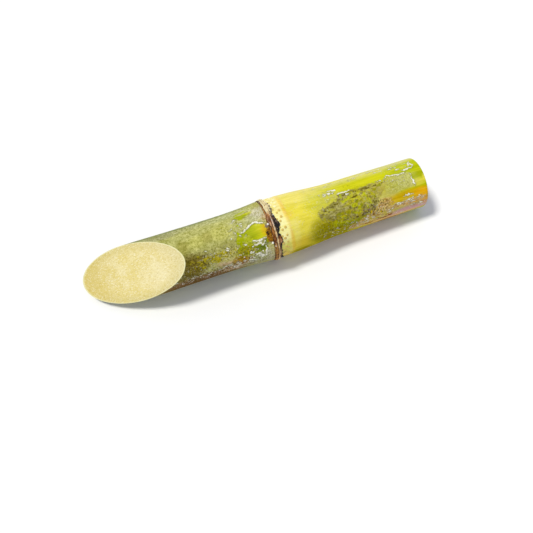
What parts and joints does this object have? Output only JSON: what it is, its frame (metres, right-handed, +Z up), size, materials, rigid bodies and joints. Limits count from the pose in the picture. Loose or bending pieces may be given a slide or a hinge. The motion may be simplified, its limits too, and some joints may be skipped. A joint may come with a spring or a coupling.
{
  "type": "sugarcane stalk",
  "caption": "Cut length of thick green sugarcane lying on its side: an internode on each side of a node, one slanting cut and one square cut.",
  "frame": {"origin": "on the surface that the stalk lies on, under the middle of its outline seen from above", "axes": "+Z up; +X along the stalk, towards the square cut at its tip end; +Y towards the side where the bud is, so that the slanting cut faces -X and -Y"},
  "size_m": [0.24, 0.0444, 0.0426],
  "materials": {
    "cane_rind": "waxy yellow-green rind of fresh cane, with pale grainy pith on the cut faces",
    "dry_sheath": "dry brown fibre, almost black where it is torn, matt",
    "dry_bud": "dry brown bud scales, satin"
  },
  "bodies": {
    "root": {"stalk": "cane_rind", "sheath_rim": "dry_sheath", "bud": "dry_bud"}
  },
  "joints": []
}
